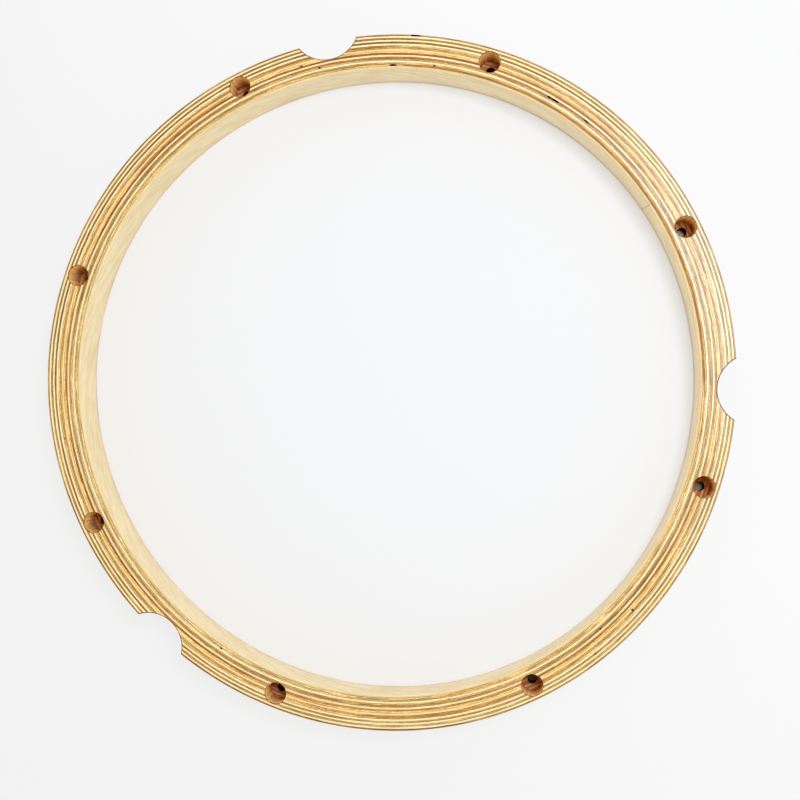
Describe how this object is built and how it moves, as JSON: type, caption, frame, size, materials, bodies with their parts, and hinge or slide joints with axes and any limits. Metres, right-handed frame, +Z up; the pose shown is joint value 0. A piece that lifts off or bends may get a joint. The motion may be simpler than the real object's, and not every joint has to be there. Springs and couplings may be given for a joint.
{
  "type": "drum hoop",
  "caption": "Round laminated wood drum hoop of thin veneers on edge, with counterbored tension-rod holes and round leg notches in its outer edge.",
  "frame": {"origin": "centre of the rod-hole circle, on the underside plane", "axes": "+Z up towards the counterbored face, -Y through the lone leg notch, the other two notches on the +Y side"},
  "size_m": [0.4561, 0.4531, 0.0318],
  "materials": {
    "cross_grain": "bare cross-grain veneer edge, cut and sanded, satin",
    "long_grain": "bare long-grain veneer edge, pale, cut and sanded, satin",
    "outer_face": "tan outer face veneer with upright grain, sanded, satin",
    "inner_face": "pale inner face veneer, sanded smooth, satin"
  },
  "bodies": {
    "root": {"cross_ply_1_outer_face_arc_1": "outer_face", "cross_ply_1_outer_face_arc_2": "outer_face", "cross_ply_1_outer_face_arc_3": "outer_face", "cross_ply_1_outer_face_arc_4": "outer_face", "long_ply_1_arc_1": "long_grain", "long_ply_1_arc_2": "long_grain", "long_ply_1_arc_3": "long_grain", "cross_ply_2_arc_1": "cross_grain", "cross_ply_2_arc_2": "cross_grain", "cross_ply_2_arc_3": "cross_grain", "long_ply_2_arc_1": "long_grain", "long_ply_2_arc_2": "long_grain", "long_ply_2_arc_3": "long_grain", "cross_ply_3_arc_1": "cross_grain", "cross_ply_3_arc_2": "cross_grain", "cross_ply_3_arc_3": "cross_grain", "long_ply_3_arc_1": "long_grain", "long_ply_3_arc_2": "long_grain", "long_ply_3_arc_3": "long_grain", "cross_ply_4_arc_1": "cross_grain", "cross_ply_4_arc_2": "cross_grain", "cross_ply_4_arc_3": "cross_grain", "cross_ply_4_arc_4": "cross_grain", "cross_ply_4_arc_5": "cross_grain", "cross_ply_4_arc_6": "cross_grain", "cross_ply_4_arc_7": "cross_grain", "cross_ply_4_arc_8": "cross_grain", "cross_ply_4_arc_9": "cross_grain", "cross_ply_4_arc_10": "cross_grain", "cross_ply_4_arc_11": "cross_grain", "long_ply_4_arc_1": "long_grain", "long_ply_4_arc_2": "long_grain", "long_ply_4_arc_3": "long_grain", "long_ply_4_arc_4": "long_grain", "long_ply_4_arc_5": "long_grain", "long_ply_4_arc_6": "long_grain", "long_ply_4_arc_7": "long_grain", "long_ply_4_arc_8": "long_grain", "long_ply_4_arc_9": "long_grain", "long_ply_4_arc_10": "long_grain", "long_ply_4_arc_11": "long_grain", "cross_ply_5": "cross_grain", "long_ply_5": "long_grain", "cross_ply_6": "cross_grain", "long_ply_6": "long_grain", "cross_ply_7": "cross_grain", "long_ply_7_inner_face": "inner_face"}
  },
  "joints": []
}
